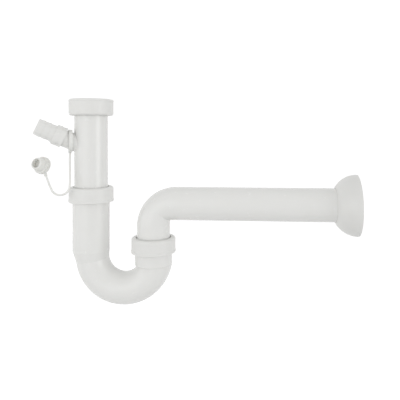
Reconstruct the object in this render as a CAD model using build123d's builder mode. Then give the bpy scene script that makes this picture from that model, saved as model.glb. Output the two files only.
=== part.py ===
from build123d import *
import os
from math import asin, cos, degrees, pi, radians, sin, sqrt, tan

# Tubular sink trap for 40 mm pipe with a G 1 1/2 union, a stepped hose spigot and a wall rosette.
# Millimetres, +Z up. The origin is the centre of the inlet's sealing face, the inlet pipe runs down
# the Z axis and the outlet pipe runs along +X.

os.makedirs("parts", exist_ok=True)

# ---- Driving dimensions ----

# Pipes
pipe_r = 20.0  # DN 40 pipe, outside
pipe_wall = 1.8
pipe_end_chamfer = 1.2
leg_spacing = 78.0  # from the inlet pipe's axis to the outlet pipe's upright axis

# Heights, measured from the sealing face
inlet_pipe_end = -163.0
long_leg_rim = -104.5
short_leg_rim = -165.1
outlet_axis_z = -116.2

# Clearances
socket_clearance = 0.25  # between a pipe and the plain socket that it stands in
seal_clearance = 0.1  # between a rubber ring and what it seals on
stack_gap = 0.1  # between pieces stacked under a nut
slide_clearance = 0.08  # between the rosette or the tether ring and what it slides on
nut_hole_clearance = 1.2  # between a pipe and the hole in its nut

# G 1 1/2 thread
thread_root_wall = 2.17  # from a leg's socket to the thread's core
thread_depth = 1.48
thread_pitch = 2.309
thread_turns = 4
thread_clearance = 0.2
thread_base_share = 0.78  # of the pitch, at the foot of a ridge
thread_tip_share = 0.25  # of the pitch, at its crest
thread_start = 0.8  # from the rim to the first ridge

# Ring nuts
nut_wall = 2.5
nut_lip_stand = 0.4  # how far the lip at the mouth stands out
nut_lip_height = 3.0
nut_height = 18.0
union_nut_height = 20.0
nut_end_wall = 3.0
nut_relief = 0.4  # the thread's run-out groove is this much wider than its bore
nut_end_rounding = 2.6
nut_lip_rounding = 0.7
union_lip_rounding = 1.9
nut_mouth_chamfer = 0.8

# Inlet flange and gasket
gasket_thickness = 3.0
flange_thickness = 3.0
flange_stand = 2.5  # beyond the pipe

# Cone seals and slip rings
seal_flange_thickness = 3.0
seal_edge_clearance = 0.5  # from the seal's edge to the nut's thread
seal_cone_length = 3.5
slip_ring_thickness = 1.5
mouth_flare = 1.35  # how far the leg's mouth widens beyond its socket
mouth_cone_depth = 5.0

# Trap bend
long_leg_wall = 1.75
long_leg_bottom = -174.5  # where the leg starts to narrow into the U
neck_wall = 2.25
neck_bottom = -190.3
neck_edge_rounding = 0.8
socket_floor = -187.0
bend_z = -180.2  # centre of the U's arc
bend_widening = 1.0  # the U's radius over half of the leg spacing
bend_step = 0.3  # how much slimmer than the pipe the U is
bend_wall = 1.8
taper_end_angle = 8.0  # how far down the U's arc the long leg's taper ends
neck_flush = 0.1  # the U's outer side stands this far inside the neck's

# Outlet pipe
elbow_radius = 28.0
elbow_steps = 3  # sections between the elbow's end and its mitre line
socket_end_gap = 0.3  # between the outlet pipe's foot and the socket floor
outlet_pipe_end = 321.0
mark_place = 306.0  # fine ring groove, the depth to which the pipe is pushed into the drain
mark_width = 0.8
mark_depth = 0.3

# Wall rosette
rosette_rim_x = 322.6
rosette_rim_r = 36.4
rosette_depth = 25.6
rosette_wall = 1.6
rosette_hub_wall = 1.6
rosette_hub_length = 9.0

# Hose spigot
spigot_rise = 24.5  # above the horizontal
spigot_turn = 27.0  # round the inlet pipe, from -X towards -Y
spigot_z = -51.1  # where its axis meets the inlet pipe's axis
spigot_bore_r = 7.5
spigot_length = 69.2  # from the inlet pipe's axis
spigot_root_r = 10.3
spigot_root_end = 35.3
wide_barb_r = 12.6
wide_core_r = 12.0
wide_barb_count = 2
wide_end = 47.3
narrow_barb_r = 10.5
narrow_core_r = 9.8
narrow_barb_count = 3
spigot_tip_chamfer = 1.0

# Blanking plug and its tether
ring_place = 24.5  # from the inlet pipe's axis; the ring hangs upright on the sloping spigot
ring_width = 4.0
ring_wall = 1.0
ring_tab_r = 1.8
strap_r = 1.3
corner_share = 0.45
plug_centre = (-51.4, -22.9, -69.2)  # middle of the plug's head
plug_aim = (-0.24, -0.92, 0.30)  # the way its nose points
plug_head_r = 10.4
plug_head_thickness = 6.0
plug_head_rib_count = 20
plug_rib_depth = 0.6
plug_rib_width = 1.5
plug_head_rounding = 1.0
plug_nose_root_r = 8.2  # the nose tapers, so it wedges in the spigot's mouth
plug_nose_r = 7.0
plug_nose_length = 8.0
plug_nose_chamfer = 0.8
plug_hollow_r = 5.4
plug_hollow_depth = 6.5
plug_tab_r = 2.0
plug_tab_inset = 6.0  # how far a tab reaches into the piece that it is part of
ring_tab_inset = 1.9

# The strap hangs beside the inlet pipe, swings out past the slip nut, loops under and rises to the plug.
strap_route = [
    (-21.9, -12.2, -54.2),
    (-20.4, -16.0, -63.6),
    (-18.2, -20.8, -75.2),
    (-16.3, -25.0, -86.6),
    (-15.7, -27.2, -94.6),
    (-17.8, -28.0, -99.7),
    (-22.6, -28.0, -103.3),
    (-29.9, -27.5, -104.1),
    (-36.6, -26.5, -101.2),
    (-40.8, -25.5, -93.3),
    (-44.1, -24.5, -86.3),
    (-46.3, -23.8, -81.4),
]

# ---- Sizes that follow ----

pipe_bore_r = pipe_r - pipe_wall
socket_r = pipe_r + socket_clearance
thread_core_r = socket_r + thread_root_wall
thread_crest_r = thread_core_r + thread_depth
long_leg_r = socket_r + long_leg_wall
neck_r = socket_r + neck_wall
mouth_cone_r = socket_r + mouth_flare
flange_r = pipe_r + flange_stand
seal_flange_r = thread_crest_r - seal_edge_clearance
seal_bore_r = pipe_r + seal_clearance
nut_bore_r = thread_crest_r + thread_clearance
nut_r = nut_bore_r + nut_wall
nut_lip_r = nut_r + nut_lip_stand
nut_hole_r = pipe_r + nut_hole_clearance
bend_r = pipe_r - bend_step
inner_corner = elbow_radius - pipe_r  # from the elbow's centre to its two inner walls
bend_radius = leg_spacing / 2 + bend_widening
bend_bore_r = bend_r - bend_wall
bend_outer = bend_radius + bend_r
flange_bottom = -gasket_thickness - flange_thickness
nut_groove_height = stack_gap - flange_bottom  # so the union nut's thread starts at the sealing face
neck_angle = degrees(asin((bend_z - neck_bottom) / bend_outer))
bend_x = leg_spacing + neck_r - neck_flush - bend_outer * cos(radians(neck_angle))


# ---- Trap bend and what seals it ----


def nut_profile(height, end_wall, hole_r, lip_rounding):
    """Half section of a ring nut: radius along x, height along y, closed end at y = 0, mouth upwards."""
    lip_foot = height - nut_lip_height
    mouth_r = nut_bore_r + nut_mouth_chamfer
    with BuildSketch() as section:
        with BuildLine():
            Polyline(
                (hole_r, 0),
                (nut_r, 0),
                (nut_r, lip_foot),
                (nut_lip_r, lip_foot + nut_lip_r - nut_r),
                (nut_lip_r, height),
                (mouth_r, height),
                (nut_bore_r, height - nut_mouth_chamfer),
                (nut_bore_r, end_wall + nut_groove_height),
                (nut_bore_r + nut_relief, end_wall + nut_groove_height),
                (nut_bore_r + nut_relief, end_wall),
                (hole_r, end_wall),
                close=True,
            )
        make_face()
        fillet(section.vertices().sort_by_distance((nut_r, 0, 0))[0], radius=nut_end_rounding)
        fillet(section.vertices().sort_by_distance((nut_lip_r, height, 0))[0], radius=lip_rounding)
    return section.sketch


def section_plane(axis_x, height, upwards):
    """Plane of a half section about an upright axis, with its y along +Z or along -Z."""
    normal = (0, -1, 0) if upwards else (0, 1, 0)
    return Plane(origin=(axis_x, 0, height), x_dir=(1, 0, 0), z_dir=normal)


def upright_axis(axis_x):
    return Axis((axis_x, 0, 0), (0, 0, 1))


def leg_outline(rim, bottom, outer_r):
    """Half outline of a threaded leg, from its rim down to its bottom, filled in to the axis."""
    points = [(0, rim), (thread_core_r, rim)]
    base = thread_pitch * thread_base_share / 2
    tip = thread_pitch * thread_tip_share / 2
    for turn in range(thread_turns):
        ridge = rim - thread_start - base - turn * thread_pitch
        points += [(thread_core_r, ridge + base), (thread_crest_r, ridge + tip)]
        points += [(thread_crest_r, ridge - tip), (thread_core_r, ridge - base)]
    thread_end = rim - thread_start - thread_turns * thread_pitch
    points += [(thread_core_r, thread_end), (outer_r, thread_end), (outer_r, bottom), (0, bottom)]
    return points


def socket_outline(rim, floor):
    """Half outline of a leg's socket: a coned mouth for the seal, then a plain bore for the pipe."""
    return [
        (0, rim),
        (mouth_cone_r, rim),
        (socket_r, rim - mouth_cone_depth),
        (socket_r, floor),
        (0, floor),
    ]


def arc_plane(angle):
    """Plane across the U's arc, angle degrees below its right end, facing along the arc."""
    outward = Vector(cos(radians(angle)), 0, -sin(radians(angle)))
    along = Vector(-sin(radians(angle)), 0, -cos(radians(angle)))
    return Plane(origin=Vector(bend_x, 0, bend_z) + outward * bend_radius, x_dir=outward, z_dir=along)


arc_axis = Axis((bend_x, 0, bend_z), (0, 1, 0))
arc_end = 180 - taper_end_angle
bore_start = degrees(asin((bend_z - socket_floor) / bend_outer)) / 2

with BuildPart() as trap_bend:
    with BuildSketch(section_plane(0, 0, True)):
        with BuildLine():
            Polyline(*leg_outline(long_leg_rim, long_leg_bottom, long_leg_r), close=True)
        make_face()
    revolve(axis=upright_axis(0))
    with BuildSketch(section_plane(leg_spacing, 0, True)):
        with BuildLine():
            Polyline(*leg_outline(short_leg_rim, neck_bottom, neck_r), close=True)
        make_face()
    revolve(axis=upright_axis(leg_spacing))
    neck_edge = trap_bend.edges().filter_by(GeomType.CIRCLE).group_by(Axis.Z)[0]
    fillet(neck_edge, radius=neck_edge_rounding)
    # the U, and the taper that leads the long leg into it
    with BuildSketch(arc_plane(neck_angle)):
        Circle(bend_r)
    revolve(axis=arc_axis, revolution_arc=arc_end - neck_angle)
    with BuildSketch(Plane.XY.offset(long_leg_bottom)):
        Circle(long_leg_r)
    with BuildSketch(arc_plane(arc_end)):
        Circle(bend_r)
    loft()
    # the waterway
    with BuildSketch(section_plane(0, 0, True)):
        with BuildLine():
            Polyline(*socket_outline(long_leg_rim, long_leg_bottom), close=True)
        make_face()
    revolve(axis=upright_axis(0), mode=Mode.SUBTRACT)
    with BuildSketch(section_plane(leg_spacing, 0, True)):
        with BuildLine():
            Polyline(*socket_outline(short_leg_rim, socket_floor), close=True)
        make_face()
    revolve(axis=upright_axis(leg_spacing), mode=Mode.SUBTRACT)
    with BuildSketch(arc_plane(bore_start)):
        Circle(bend_bore_r)
    revolve(axis=arc_axis, revolution_arc=arc_end - bore_start, mode=Mode.SUBTRACT)
    with BuildSketch(Plane.XY.offset(long_leg_bottom)):
        Circle(socket_r)
    with BuildSketch(arc_plane(arc_end)):
        Circle(bend_bore_r)
    loft(mode=Mode.SUBTRACT)
trap_bend.part.label = "trap_bend"
export_step(trap_bend.part, "parts/trap_bend.step")

# Each leg holds, from its rim up: a cone seal, a slip ring and the slip nut over both.
for leg, axis_x, rim in [("long_leg", 0, long_leg_rim), ("short_leg", leg_spacing, short_leg_rim)]:
    seal_bottom = rim + stack_gap
    seal_top = seal_bottom + seal_flange_thickness
    ring_bottom = seal_top + stack_gap
    nut_end = ring_bottom + slip_ring_thickness + stack_gap + nut_end_wall
    cone_slope = (mouth_cone_r - socket_r) / mouth_cone_depth
    cone_top_r = mouth_cone_r - seal_clearance
    cone_tip_r = cone_top_r - cone_slope * seal_cone_length

    with BuildPart() as cone_seal:
        with BuildSketch(section_plane(axis_x, seal_bottom, True)):
            with BuildLine():
                Polyline(
                    (seal_bore_r, -seal_cone_length),
                    (cone_tip_r, -seal_cone_length),
                    (cone_top_r, -stack_gap),
                    (cone_top_r, 0),
                    (seal_flange_r, 0),
                    (seal_flange_r, seal_flange_thickness),
                    (seal_bore_r, seal_flange_thickness),
                    close=True,
                )
            make_face()
        revolve(axis=upright_axis(axis_x))
    cone_seal.part.label = f"{leg}_cone_seal"
    export_step(cone_seal.part, f"parts/{leg}_cone_seal.step")

    with BuildPart() as slip_ring:
        with BuildSketch(Plane((axis_x, 0, ring_bottom))):
            Circle(thread_crest_r)
            Circle(socket_r, mode=Mode.SUBTRACT)
        extrude(amount=slip_ring_thickness)
    slip_ring.part.label = f"{leg}_slip_ring"
    export_step(slip_ring.part, f"parts/{leg}_slip_ring.step")

    with BuildPart() as slip_nut:
        with BuildSketch(section_plane(axis_x, nut_end, False)):
            add(nut_profile(nut_height, nut_end_wall, nut_hole_r, nut_lip_rounding))
        revolve(axis=upright_axis(axis_x))
    slip_nut.part.label = f"{leg}_nut"
    export_step(slip_nut.part, f"parts/{leg}_nut.step")

# ---- Inlet ----

outwards = Vector(-cos(radians(spigot_turn)), -sin(radians(spigot_turn)), 0)
spigot_way = outwards * cos(radians(spigot_rise)) + Vector(0, 0, sin(radians(spigot_rise)))
spigot_foot = Vector(0, 0, spigot_z)
spigot_axis = Axis(spigot_foot, spigot_way)
across = spigot_way.cross(Vector(0, 0, 1)).normalized()
spigot_plane = Plane(origin=spigot_foot, x_dir=across, z_dir=across.cross(spigot_way))


def barbs(start, end, count, core_r, barb_r):
    """Points of a row of hose barbs, each steep towards the root and sloping down towards the tip."""
    pitch = (end - start) / count
    points = []
    for step in range(count):
        points += [(barb_r, start + step * pitch), (core_r, start + (step + 1) * pitch)]
    return points


tip_end = spigot_length - spigot_tip_chamfer
with BuildPart() as inlet_pipe:
    with BuildSketch(section_plane(0, 0, True)):
        with BuildLine():
            Polyline(
                (0, -gasket_thickness),
                (flange_r, -gasket_thickness),
                (flange_r, flange_bottom),
                (pipe_r, flange_bottom),
                (pipe_r, inlet_pipe_end + pipe_end_chamfer),
                (pipe_r - pipe_end_chamfer, inlet_pipe_end),
                (0, inlet_pipe_end),
                close=True,
            )
        make_face()
    revolve(axis=Axis.Z)
    with BuildSketch(spigot_plane):
        with BuildLine():
            Polyline(
                (0, 0),
                (spigot_root_r, 0),
                (spigot_root_r, spigot_root_end),
                *barbs(spigot_root_end, wide_end, wide_barb_count, wide_core_r, wide_barb_r),
                *barbs(wide_end, tip_end, narrow_barb_count, narrow_core_r, narrow_barb_r),
                (narrow_core_r - spigot_tip_chamfer, spigot_length),
                (0, spigot_length),
                close=True,
            )
        make_face()
    revolve(axis=spigot_axis)
    with BuildSketch(Plane.XY.offset(inlet_pipe_end)):
        Circle(pipe_bore_r)
    extrude(amount=-inlet_pipe_end - gasket_thickness, mode=Mode.SUBTRACT)
    with BuildSketch(Plane(origin=spigot_foot, z_dir=spigot_way)):
        Circle(spigot_bore_r)
    extrude(amount=spigot_length, mode=Mode.SUBTRACT)
inlet_pipe.part.label = "inlet_pipe"
export_step(inlet_pipe.part, "parts/inlet_pipe.step")

with BuildPart() as gasket:
    with BuildSketch(Plane.XY.offset(-gasket_thickness)):
        Circle(flange_r)
        Circle(pipe_bore_r, mode=Mode.SUBTRACT)
    extrude(amount=gasket_thickness)
gasket.part.label = "inlet_flat_gasket"
export_step(gasket.part, "parts/inlet_flat_gasket.step")

with BuildPart() as union_nut:
    with BuildSketch(section_plane(0, flange_bottom - stack_gap - nut_end_wall, True)):
        add(nut_profile(union_nut_height, nut_end_wall, nut_hole_r, union_lip_rounding))
    revolve(axis=Axis.Z)
union_nut.part.label = "inlet_union_nut"
export_step(union_nut.part, "parts/inlet_union_nut.step")

# ---- Outlet pipe: upright, elbow with a sharp inner corner, and wall pipe ----

elbow_centre = Vector(leg_spacing + elbow_radius, 0, outlet_axis_z - elbow_radius)
outlet_foot = socket_floor + socket_end_gap


def elbow_section(angle, wall):
    """Plane and two radii of the elbow's oval section, angle degrees round from the upright."""
    outward = Vector(-cos(radians(angle)), 0, sin(radians(angle)))
    along = Vector(sin(radians(angle)), 0, cos(radians(angle)))
    inner = (inner_corner + wall) / max(cos(radians(angle)), sin(radians(angle)))
    outer = elbow_radius + pipe_r - wall
    plane = Plane(origin=elbow_centre + outward * (inner + outer) / 2, x_dir=outward, z_dir=along)
    return plane, (outer - inner) / 2


def outlet_form(wall):
    """The outlet pipe as a solid, its skin wall inside the real one."""
    with BuildPart() as form:
        with BuildSketch(Plane((leg_spacing, 0, outlet_foot))):
            Circle(pipe_r - wall)
        extrude(amount=elbow_centre.Z - outlet_foot)
        for first in (0, 45):
            for step in range(elbow_steps + 1):
                plane, half_width = elbow_section(first + 45 * step / elbow_steps, wall)
                with BuildSketch(plane):
                    Ellipse(half_width, pipe_r - wall)
            loft()
        with BuildSketch(Plane(origin=(elbow_centre.X, 0, outlet_axis_z), z_dir=(1, 0, 0))):
            Circle(pipe_r - wall)
        extrude(amount=outlet_pipe_end - elbow_centre.X)
    return form.part


with BuildPart() as outlet_pipe:
    add(outlet_form(0))
    end_edges = outlet_pipe.edges().filter_by(GeomType.CIRCLE)
    chamfer(end_edges.group_by(Axis.Z)[0] + end_edges.group_by(Axis.X)[-1], length=pipe_end_chamfer)
    with BuildSketch(Plane(origin=(mark_place, 0, outlet_axis_z), z_dir=(1, 0, 0))):
        Circle(pipe_r)
        Circle(pipe_r - mark_depth, mode=Mode.SUBTRACT)
    extrude(amount=mark_width, mode=Mode.SUBTRACT)
    add(outlet_form(pipe_wall), mode=Mode.SUBTRACT)
outlet_pipe.part.label = "outlet_pipe"
export_step(outlet_pipe.part, "parts/outlet_pipe.step")

# ---- Wall rosette: a domed shell with a hub that slides on the pipe ----

hub_x = rosette_rim_x - rosette_depth
hub_bore_r = pipe_r + slide_clearance
hub_r = hub_bore_r + rosette_hub_wall
dome_drop = rosette_rim_r - hub_r
dome_radius = (rosette_depth**2 + dome_drop**2) / (2 * dome_drop)
dome_centre_r = rosette_rim_r - dome_radius
inner_radius = dome_radius - rosette_wall
inner_foot_x = rosette_rim_x - sqrt(inner_radius**2 - (hub_r - dome_centre_r) ** 2)


def dome_middle(radius, foot_x):
    """Point halfway round a dome arc that runs from foot_x to the rim."""
    half = asin((rosette_rim_x - foot_x) / radius) / 2
    return (rosette_rim_x - radius * sin(half), dome_centre_r + radius * cos(half))


with BuildPart() as rosette:
    with BuildSketch(Plane(origin=(0, 0, outlet_axis_z), x_dir=(1, 0, 0), z_dir=(0, -1, 0))):
        with BuildLine():
            ThreePointArc((hub_x, hub_r), dome_middle(dome_radius, hub_x), (rosette_rim_x, rosette_rim_r))
            Polyline((rosette_rim_x, rosette_rim_r), (rosette_rim_x, rosette_rim_r - rosette_wall))
            ThreePointArc(
                (rosette_rim_x, rosette_rim_r - rosette_wall),
                dome_middle(inner_radius, inner_foot_x),
                (inner_foot_x, hub_r),
            )
            Polyline(
                (inner_foot_x, hub_r),
                (hub_x + rosette_hub_length, hub_r),
                (hub_x + rosette_hub_length, hub_bore_r),
                (hub_x, hub_bore_r),
                (hub_x, hub_r),
            )
        make_face()
    revolve(axis=Axis((0, 0, outlet_axis_z), (1, 0, 0)))
rosette.part.label = "wall_rosette"
export_step(rosette.part, "parts/wall_rosette.step")

# ---- Blanking plug on its tether ----


def tab(end, towards, radius, length):
    """A round tab whose face is at end and whose body runs on towards the piece that it is part of."""
    with BuildPart() as stub:
        with BuildSketch(Plane(origin=end, z_dir=towards)):
            Circle(radius)
        extrude(amount=length)
    return stub.part


route = [Vector(point) for point in strap_route]
strap_start = (route[0] - route[1]).normalized()
strap_finish = (route[-1] - route[-2]).normalized()
ring_lean = radians(spigot_rise)
ring_bore_r = spigot_root_r / cos(ring_lean) + ring_width / 2 * tan(ring_lean) + slide_clearance
ring_centre = spigot_foot + spigot_way * (ring_place / cos(ring_lean))
ring_face = Plane(origin=ring_centre - outwards * ring_width / 2, z_dir=outwards)

with BuildPart() as tether_ring:
    with BuildSketch(ring_face):
        Circle(ring_bore_r + ring_wall)
    extrude(amount=ring_width)
    add(tab(route[0], strap_start, ring_tab_r, ring_tab_inset))
    with BuildSketch(Plane(origin=ring_centre, z_dir=outwards)):
        Circle(ring_bore_r)
    extrude(amount=ring_width, both=True, mode=Mode.SUBTRACT)
tether_ring.part.label = "tether_ring"
export_step(tether_ring.part, "parts/tether_ring.step")

head = Vector(plug_centre)
aim = Vector(plug_aim).normalized()
plug_back = head - aim * plug_head_thickness / 2
nose_face = plug_back + aim * (plug_head_thickness + plug_nose_length)
with BuildPart() as spigot_plug:
    with BuildSketch(Plane(origin=plug_back, z_dir=aim)):
        Circle(plug_head_r)
    extrude(amount=plug_head_thickness)
    head_edges = spigot_plug.edges().filter_by(GeomType.CIRCLE)
    fillet(head_edges, radius=plug_head_rounding)
    with BuildSketch(Plane(origin=plug_back, z_dir=aim)):
        with PolarLocations(plug_head_r, plug_head_rib_count):
            Rectangle(2 * plug_rib_depth, plug_rib_width)
    extrude(amount=plug_head_thickness, mode=Mode.SUBTRACT)
    with BuildSketch(Plane(origin=plug_back + aim * plug_head_thickness, z_dir=aim)):
        Circle(plug_nose_root_r)
    with BuildSketch(Plane(origin=nose_face, z_dir=aim)):
        Circle(plug_nose_r)
    loft()
    nose_edge = spigot_plug.edges().filter_by(GeomType.CIRCLE).sort_by_distance(nose_face)[0]
    chamfer(nose_edge, length=plug_nose_chamfer)
    add(tab(route[-1], strap_finish, plug_tab_r, plug_tab_inset))
    with BuildSketch(Plane(origin=nose_face, z_dir=-aim)):
        Circle(plug_hollow_r)
    extrude(amount=plug_hollow_depth, mode=Mode.SUBTRACT)
spigot_plug.part.label = "spigot_plug"
export_step(spigot_plug.part, "parts/spigot_plug.step")

# Each corner of the strap is an arc that takes up a set share of the shorter run beside it.
corner_radii = []
for before, corner, after in zip(route, route[1:], route[2:]):
    run_in = corner - before
    run_out = after - corner
    half_turn = radians(run_in.get_angle(run_out)) / 2
    corner_radii.append(corner_share * min(run_in.length, run_out.length) / tan(half_turn))
with BuildPart() as tether_strap:
    with BuildLine() as strap_path:
        FilletPolyline(*route, radius=corner_radii)
    with BuildSketch(Plane(origin=route[0], z_dir=route[1] - route[0])):
        Circle(strap_r)
    sweep(path=strap_path.line)
tether_strap.part.label = "tether_strap"
export_step(tether_strap.part, "parts/tether_strap.step")

strap_length = strap_path.wires()[0].length
strap_volume = pi * strap_r**2 * strap_length
print("strap corner radii", [round(radius, 1) for radius in corner_radii])
print("strap length", round(strap_length, 1))
print("strap volume", round(tether_strap.part.volume, 1), "section times length", round(strap_volume, 1))
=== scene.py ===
from math import cos, pi, radians, sin

import bpy
from mathutils import Matrix, Vector


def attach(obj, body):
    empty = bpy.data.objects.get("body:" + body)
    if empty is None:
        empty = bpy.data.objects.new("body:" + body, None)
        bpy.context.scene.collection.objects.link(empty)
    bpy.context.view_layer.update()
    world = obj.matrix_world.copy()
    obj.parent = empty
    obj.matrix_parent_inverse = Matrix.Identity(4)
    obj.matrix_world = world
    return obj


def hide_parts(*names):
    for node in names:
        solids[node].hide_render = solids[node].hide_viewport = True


# White tubular sink trap: union inlet with a hose spigot and its tethered plug, U bend with two slip
# nuts, and a long outlet pipe with a wall rosette. Metres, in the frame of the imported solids.

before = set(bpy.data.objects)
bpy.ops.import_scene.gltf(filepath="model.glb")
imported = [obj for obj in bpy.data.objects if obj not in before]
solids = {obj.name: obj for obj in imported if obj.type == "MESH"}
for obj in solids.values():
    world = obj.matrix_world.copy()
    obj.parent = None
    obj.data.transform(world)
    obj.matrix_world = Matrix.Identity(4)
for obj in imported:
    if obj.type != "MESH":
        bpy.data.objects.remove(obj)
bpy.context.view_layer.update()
scene = bpy.context.scene
MM = 0.001


def placed(name, data):
    """A new object with this data, in the scene at the origin."""
    thing = bpy.data.objects.new(name, data)
    scene.collection.objects.link(thing)
    return thing


# ---- Camera ----

CAMERA_PLACE = (0.2104, -0.5490, -0.0275)
CAMERA_TURN = 0.074  # radians to the left of straight ahead, about 4.2 degrees
SENSOR_WIDTH = 36.0  # millimetres, as is the focal length
FOCAL_LENGTH = 41.03
LENS_SHIFT_X = -0.0709  # in widths of the sensor
LENS_SHIFT_Y = -0.17375

lens = bpy.data.cameras.new("bench_camera")
lens.sensor_width = SENSOR_WIDTH
lens.lens = FOCAL_LENGTH
lens.shift_x = LENS_SHIFT_X
lens.shift_y = LENS_SHIFT_Y
camera = placed("bench_camera", lens)
camera.location = CAMERA_PLACE
camera.rotation_euler = (radians(90), 0, CAMERA_TURN)
scene.camera = camera

# ---- Tether strap: one smooth cord from the ring on the spigot to the plug ----

STRAP_RADIUS = 1.3 * MM
STRAP_ROUTE = [  # millimetres: down from the ring's tab, past the long leg's nut, and up to the plug
    (-21.9, -12.2, -54.2),
    (-20.4, -16.0, -63.6),
    (-18.2, -20.8, -75.2),
    (-16.3, -25.0, -86.6),
    (-15.7, -27.2, -94.6),
    (-17.8, -28.0, -99.7),
    (-22.6, -28.0, -103.3),
    (-29.9, -27.5, -104.1),
    (-36.6, -26.5, -101.2),
    (-40.8, -25.5, -93.3),
    (-44.1, -24.5, -86.3),
    (-46.3, -23.8, -81.4),
]


def strap_curve():
    """The strap as a round cord whose line has the route's points as its control points."""
    curve = bpy.data.curves.new("strap_cord", "CURVE")
    curve.dimensions = "3D"
    curve.bevel_depth = STRAP_RADIUS
    curve.bevel_resolution = 6
    curve.resolution_u = 12
    curve.use_fill_caps = True
    line = curve.splines.new("NURBS")
    line.points.add(len(STRAP_ROUTE) - 1)
    for point, place in zip(line.points, STRAP_ROUTE):
        point.co = (*(Vector(place) * MM), 1.0)
    # set once the points are there, or the line falls back to straight runs
    line.order_u = 3
    line.use_endpoint_u = True
    return placed("strap_cord", curve)


strap = strap_curve()

# ---- Shared helpers for node trees ----


def linear(code):
    """An sRGB hex colour as the linear values that a shader takes."""
    channels = [int(code[i : i + 2], 16) / 255 for i in (1, 3, 5)]
    bent = [c / 12.92 if c <= 0.04045 else ((c + 0.055) / 1.055) ** 2.4 for c in channels]
    return (*bent, 1.0)


def emptied(block):
    """The node tree of a material or world, switched on and with nothing in it."""
    block.use_nodes = True
    block.node_tree.nodes.clear()
    return block.node_tree


def add(tree, kind, links=None, **settings):
    """A node with its settings; links gives each input, by name or number, a value or a socket."""
    node = tree.nodes.new(kind)
    for name, value in settings.items():
        setattr(node, name, value)
    for name, value in (links or {}).items():
        if isinstance(value, bpy.types.NodeSocket):
            tree.links.new(value, node.inputs[name])
        else:
            node.inputs[name].default_value = value
    return node


# ---- Finishes ----

CLOUD_SIZE = 18 * MM  # mottling, from pigment that mixed unevenly
PATCH_SIZE = 9 * MM  # duller patches, where pieces were handled and packed
WORN_FROM = 0.5  # the noise level where a patch starts to dull, and the one where it is dullest
WORN_FULLY = 0.72
WAVE_SIZE = 6 * MM  # the mould's orange peel, from crest to crest
GRAIN_SIZE = 0.5 * MM  # a spark-eroded mould's grain, drawn coarser than real so that it shows
GRAIN_SHARE = 0.12  # the grain's height as a share of the peel's
SEAM_HALF_WIDTH = 0.6 * MM  # a real parting line is thinner; drawn this wide so that it shows
PLASTIC_IOR = 1.49
GLOW_SPREAD = (1.0, 0.95, 0.9)  # red light reaches a little further under the skin than blue


def moulded_plastic(name, colour, shade, roughness, peel, scuff, glow, reach, seam=0.0):
    """Injection moulded plastic. colour and shade are the two ends of its faint mottling. peel is the
    height of the slow waves that the mould leaves, and scuff is how much rubbing dulls the gloss.
    glow is the share of light that spreads under the skin, and reach is how far it goes. seam is
    the height of the ridge where the two halves of the mould met, on the plane Y = 0."""
    material = bpy.data.materials.new(name)
    tree = emptied(material)
    place = add(tree, "ShaderNodeTexCoord").outputs["Object"]

    # mottling
    clouds = add(tree, "ShaderNodeTexNoise", {
        "Vector": place, "Scale": 1 / CLOUD_SIZE, "Detail": 3.0, "Roughness": 0.55,
    })
    # a Mix node's colour sockets share their names with its float ones, so they go by number
    tint = add(tree, "ShaderNodeMix", {
        0: clouds.outputs["Fac"], 6: linear(shade), 7: linear(colour),
    }, data_type="RGBA")

    # rubbing, whose patches are broken up by fine scuffs
    rub = add(tree, "ShaderNodeTexNoise", {
        "Vector": place, "Scale": 1 / PATCH_SIZE, "Detail": 5.0, "Roughness": 0.7,
    })
    worn = add(tree, "ShaderNodeMapRange", {
        "Value": rub.outputs["Fac"], "From Min": WORN_FROM, "From Max": WORN_FULLY,
        "To Min": roughness, "To Max": roughness + scuff,
    })

    # surface: slow orange peel with the grain over it
    waves = add(tree, "ShaderNodeTexNoise", {
        "Vector": place, "Scale": 1 / WAVE_SIZE, "Detail": 1.0,
    })
    grain = add(tree, "ShaderNodeTexNoise", {
        "Vector": place, "Scale": 1 / GRAIN_SIZE, "Detail": 2.0,
    })
    soft = add(tree, "ShaderNodeBump", {
        "Height": waves.outputs["Fac"], "Strength": 1.0, "Distance": peel,
    })
    fine = add(tree, "ShaderNodeBump", {
        "Height": grain.outputs["Fac"], "Strength": 1.0, "Distance": peel * GRAIN_SHARE,
        "Normal": soft.outputs["Normal"],
    })

    skin = fine.outputs["Normal"]
    if seam:
        across = add(tree, "ShaderNodeSeparateXYZ", {"Vector": place})
        off = add(tree, "ShaderNodeMath", {0: across.outputs["Y"]}, operation="ABSOLUTE")
        ridge = add(tree, "ShaderNodeMapRange", {
            "Value": off.outputs[0], "From Min": 0.0, "From Max": SEAM_HALF_WIDTH,
            "To Min": 1.0, "To Max": 0.0,
        }, interpolation_type="SMOOTHSTEP")
        raised = add(tree, "ShaderNodeBump", {
            "Height": ridge.outputs["Result"], "Strength": 1.0, "Distance": seam, "Normal": skin,
        })
        skin = raised.outputs["Normal"]

    shader = add(tree, "ShaderNodeBsdfPrincipled", {
        "Base Color": tint.outputs[2],
        "Roughness": worn.outputs["Result"],
        "IOR": PLASTIC_IOR,
        "Subsurface Weight": glow,
        "Subsurface Radius": tuple(reach * spread for spread in GLOW_SPREAD),
        "Subsurface Scale": 1.0,
        "Normal": skin,
    })
    add(tree, "ShaderNodeOutputMaterial", {"Surface": shader.outputs["BSDF"]})
    return material


# Polypropylene, injection moulded in a polished mould and left as it comes: a clean white with a soft
# semi-gloss, through which light spreads a little under the skin.
polypropylene = moulded_plastic(
    "moulded_white_polypropylene", "#EBEBE9", "#E8E8E5",
    roughness=0.26, peel=0.012 * MM, scuff=0.02, glow=0.12, reach=2.0 * MM, seam=0.15 * MM,
)

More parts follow.
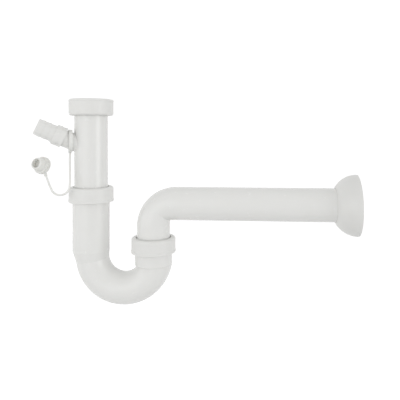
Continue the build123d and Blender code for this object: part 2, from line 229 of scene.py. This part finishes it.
# The rosette is moulded thinner, in a mould that was blasted only lightly, so it is less glossy. Its
# colour is a touch greyer than the pipes': painted shade for its dome, which faces away from the light.
rosette_polypropylene_painted_shade = moulded_plastic(
    "thin_rosette_polypropylene_painted_shade", "#E6E6E4", "#E2E2DF",
    roughness=0.34, peel=0.02 * MM, scuff=0.06, glow=0.12, reach=1.5 * MM,
)

# The nuts are the same plastic from a blasted mould, a little duller so that fingers grip them.
nut_polypropylene = moulded_plastic(
    "blasted_mould_polypropylene", "#E9E9E7", "#E5E5E2",
    roughness=0.42, peel=0.05 * MM, scuff=0.08, glow=0.12, reach=2.0 * MM,
)

# Low density polyethylene, moulded in one with its strap: softer, waxy and duller than the pipes, and
# milky enough that light reaches into the plug's hollow through its walls.
polyethylene = moulded_plastic(
    "soft_white_polyethylene", "#ECECE9", "#E6E6E2",
    roughness=0.44, peel=0.04 * MM, scuff=0.06, glow=0.35, reach=3.0 * MM,
)

# Nitrile rubber, compression moulded: dark grey, matt, with a fine dusty bloom.
rubber = moulded_plastic(
    "grey_nitrile_rubber", "#55575A", "#4A4C4F",
    roughness=0.62, peel=0.04 * MM, scuff=0.15, glow=0.0, reach=1.0 * MM,
)

# ---- Union nut's thread ----

THREAD_WALL = 24.15 * MM  # radius of the nut's wall, from which the ridge points inwards
THREAD_PITCH = 2.309 * MM
THREAD_TURNS = 3.4
THREAD_DEPTH = 2.7 * MM
THREAD_FOOT = 1.9 * MM  # width of the ridge at the wall, and at its crest
THREAD_CREST = 0.5 * MM
THREAD_START = 1.4 * MM  # above the sealing face
THREAD_STEPS = 96  # points in a turn


def thread_tree():
    """A right-handed helical ridge round the Z axis, with a trapezoid section that points inwards."""
    tree = bpy.data.node_groups.new("inner_thread", "GeometryNodeTree")

    def socket(name, kind, side="INPUT"):
        return tree.interface.new_socket(name=name, in_out=side, socket_type=kind).identifier

    socket("Geometry", "NodeSocketGeometry")
    sizes = ("Wall radius", "Pitch", "Turns", "Depth", "Foot width", "Crest width")
    inputs = {name: socket(name, "NodeSocketFloat") for name in sizes}
    inputs["Finish"] = socket("Finish", "NodeSocketMaterial")
    socket("Geometry", "NodeSocketGeometry", "OUTPUT")

    given = add(tree, "NodeGroupInput").outputs
    height = add(tree, "ShaderNodeMath", {0: given["Pitch"], 1: given["Turns"]}, operation="MULTIPLY")
    spiral = add(tree, "GeometryNodeCurveSpiral", {
        "Resolution": THREAD_STEPS, "Rotations": given["Turns"], "Start Radius": given["Wall radius"],
        "End Radius": given["Wall radius"], "Height": height.outputs[0],
    })
    upright = add(tree, "GeometryNodeSetCurveNormal", {"Curve": spiral.outputs["Curve"]}, mode="Z_UP")
    section = add(tree, "GeometryNodeCurvePrimitiveQuadrilateral", {
        "Bottom Width": given["Foot width"], "Top Width": given["Crest width"],
        "Height": given["Depth"], "Offset": 0.0,
    }, mode="TRAPEZOID")
    ridge = add(tree, "GeometryNodeCurveToMesh", {
        "Curve": upright.outputs["Curve"], "Profile Curve": section.outputs["Curve"], "Fill Caps": True,
    })
    real = add(tree, "GeometryNodeRealizeInstances", {"Geometry": ridge.outputs["Mesh"]})
    done = add(tree, "GeometryNodeSetMaterial", {
        "Geometry": real.outputs["Geometry"], "Material": given["Finish"],
    })
    add(tree, "NodeGroupOutput", {"Geometry": done.outputs["Geometry"]})
    return tree, inputs


def grown(name, tree, inputs, values):
    """The mesh that a node tree makes with these values, as an object of its own at the origin."""
    seed = placed(name + "_seed", bpy.data.meshes.new(name + "_seed"))
    growth = seed.modifiers.new("growth", "NODES")
    growth.node_group = tree
    for label, value in values.items():
        growth[inputs[label]] = value
    bpy.context.view_layer.update()
    evaluated = seed.evaluated_get(bpy.context.evaluated_depsgraph_get())
    mesh = bpy.data.meshes.new_from_object(evaluated)
    mesh.name = name
    seed.modifiers.remove(growth)
    bpy.data.objects.remove(seed)
    return placed(name, mesh)


union_thread = grown("union_nut_thread", *thread_tree(), {
    "Wall radius": THREAD_WALL, "Pitch": THREAD_PITCH, "Turns": THREAD_TURNS, "Depth": THREAD_DEPTH,
    "Foot width": THREAD_FOOT, "Crest width": THREAD_CREST, "Finish": nut_polypropylene,
})
union_thread.data.transform(Matrix.Translation((0, 0, THREAD_START)))

# ---- Each solid's finish ----

FINISHES = {
    "inlet_pipe": polypropylene,
    "inlet_flat_gasket": rubber,
    "inlet_union_nut": nut_polypropylene,
    "trap_bend": polypropylene,
    "long_leg_cone_seal": rubber,
    "long_leg_slip_ring": polyethylene,
    "long_leg_nut": nut_polypropylene,
    "short_leg_cone_seal": rubber,
    "short_leg_slip_ring": polyethylene,
    "short_leg_nut": nut_polypropylene,
    "outlet_pipe": polypropylene,
    # the rosette's greyer colour is painted shade, not a different plastic
    "wall_rosette": rosette_polypropylene_painted_shade,
    "tether_ring": polyethylene,
    "spigot_plug": polyethylene,
}
for node, finish in FINISHES.items():
    solids[node].data.materials.clear()
    solids[node].data.materials.append(finish)
strap.data.materials.append(polyethylene)

# ---- What rides on what ----

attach(strap, "tether")
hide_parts("tether_strap")
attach(union_thread, "union_nut")

# ---- Floor, backdrop and light ----

FLOOR_Z = -0.46
SHEET_LEFT = -3.2
SHEET_RIGHT = 3.6
SHEET_FRONT = -2.2  # the floor's near edge, and where it starts to curve up
SHEET_CURVE_START = 1.6
SHEET_CURVE_RADIUS = 0.8
SHEET_CURVE_STEPS = 12
SHEET_TOP = 3.4  # above the floor
PAPER_GLOW = 0.5
ROOM_FILL = 0.71  # how bright the air round the trap is, which lights it evenly


def studio():
    """A pale floor that runs up into a pale wall well behind the trap, in one sheet."""
    profile = [(SHEET_FRONT, 0.0), (SHEET_CURVE_START, 0.0)]
    for step in range(1, SHEET_CURVE_STEPS + 1):
        turn = step / SHEET_CURVE_STEPS * pi / 2
        profile.append((
            SHEET_CURVE_START + SHEET_CURVE_RADIUS * sin(turn),
            SHEET_CURVE_RADIUS - SHEET_CURVE_RADIUS * cos(turn),
        ))
    profile.append((SHEET_CURVE_START + SHEET_CURVE_RADIUS, SHEET_TOP))
    vertices = []
    for y, z in profile:
        vertices += [(SHEET_LEFT, y, FLOOR_Z + z), (SHEET_RIGHT, y, FLOOR_Z + z)]
    faces = [(2 * i, 2 * i + 1, 2 * i + 3, 2 * i + 2) for i in range(len(profile) - 1)]
    mesh = bpy.data.meshes.new("studio_sheet")
    mesh.from_pydata(vertices, [], faces)
    mesh.shade_smooth()
    return placed("studio_sheet", mesh)


backdrop = studio()


def to_the_eye(tree):
    """1 where a ray comes from the camera, a reflection or a clear piece, otherwise 0."""
    path = add(tree, "ShaderNodeLightPath").outputs
    seen = add(tree, "ShaderNodeMath", {
        0: path["Is Camera Ray"], 1: path["Is Glossy Ray"],
    }, operation="MAXIMUM")
    either = add(tree, "ShaderNodeMath", {
        0: seen.outputs[0], 1: path["Is Transmission Ray"],
    }, operation="MAXIMUM")
    return either.outputs[0]


def paper():
    """Matt white background paper. It is lit and takes the trap's shadow, and glows a little to the
    eye and in reflections, which lifts it to white there without lighting the trap."""
    material = bpy.data.materials.new("matt_white_paper")
    tree = emptied(material)
    place = add(tree, "ShaderNodeTexCoord").outputs["Object"]
    fibre = add(tree, "ShaderNodeTexNoise", {"Vector": place, "Scale": 1 / (1.5 * MM), "Detail": 3.0})
    rough = add(tree, "ShaderNodeMapRange", {
        "Value": fibre.outputs["Fac"], "To Min": 0.85, "To Max": 0.95,
    })
    lit = add(tree, "ShaderNodeBsdfPrincipled", {
        "Base Color": linear("#E4E4E4"), "Roughness": rough.outputs["Result"],
        "Specular IOR Level": 0.2,
    })
    glow = add(tree, "ShaderNodeEmission", {"Color": (1, 1, 1, 1), "Strength": PAPER_GLOW})
    dark = add(tree, "ShaderNodeEmission", {"Strength": 0.0})
    seen = add(tree, "ShaderNodeMixShader", {
        0: to_the_eye(tree), 1: dark.outputs[0], 2: glow.outputs[0],
    })
    both = add(tree, "ShaderNodeAddShader", {0: lit.outputs[0], 1: seen.outputs[0]})
    add(tree, "ShaderNodeOutputMaterial", {"Surface": both.outputs[0]})
    return material


backdrop.data.materials.append(paper())

# the room's air: a dimmed white that lights the trap, and plain white to the eye
world = bpy.data.worlds.new("studio_air")
scene.world = world
air = emptied(world)
fill = add(air, "ShaderNodeBackground", {"Color": (1, 1, 1, 1), "Strength": ROOM_FILL})
white = add(air, "ShaderNodeBackground", {"Color": (1, 1, 1, 1), "Strength": 1.0})
both = add(air, "ShaderNodeMixShader", {0: to_the_eye(air), 1: fill.outputs[0], 2: white.outputs[0]})
add(air, "ShaderNodeOutputWorld", {"Surface": both.outputs[0]})

TRAP_MIDDLE = Vector((0.12, 0.0, -0.10))


def softbox(name, place, width, height, watts):
    """A large soft lamp at place, turned to the middle of the trap and itself out of sight."""
    lamp = bpy.data.lights.new(name, "AREA")
    lamp.shape = "RECTANGLE"
    lamp.size = width
    lamp.size_y = height
    lamp.energy = watts
    light = placed(name, lamp)
    light.location = place
    light.rotation_euler = (TRAP_MIDDLE - Vector(place)).to_track_quat("-Z", "Y").to_euler()
    light.visible_camera = False


softbox("front_softbox", (-0.7, -1.4, 0.1), width=1.2, height=1.2, watts=4.4)
softbox("left_softbox", (-1.6, -0.7, -0.05), width=0.8, height=1.0, watts=2.5)
softbox("right_softbox", (2.6, -1.0, -0.05), width=1.4, height=1.2, watts=16.0)

scene.view_settings.view_transform = "Standard"
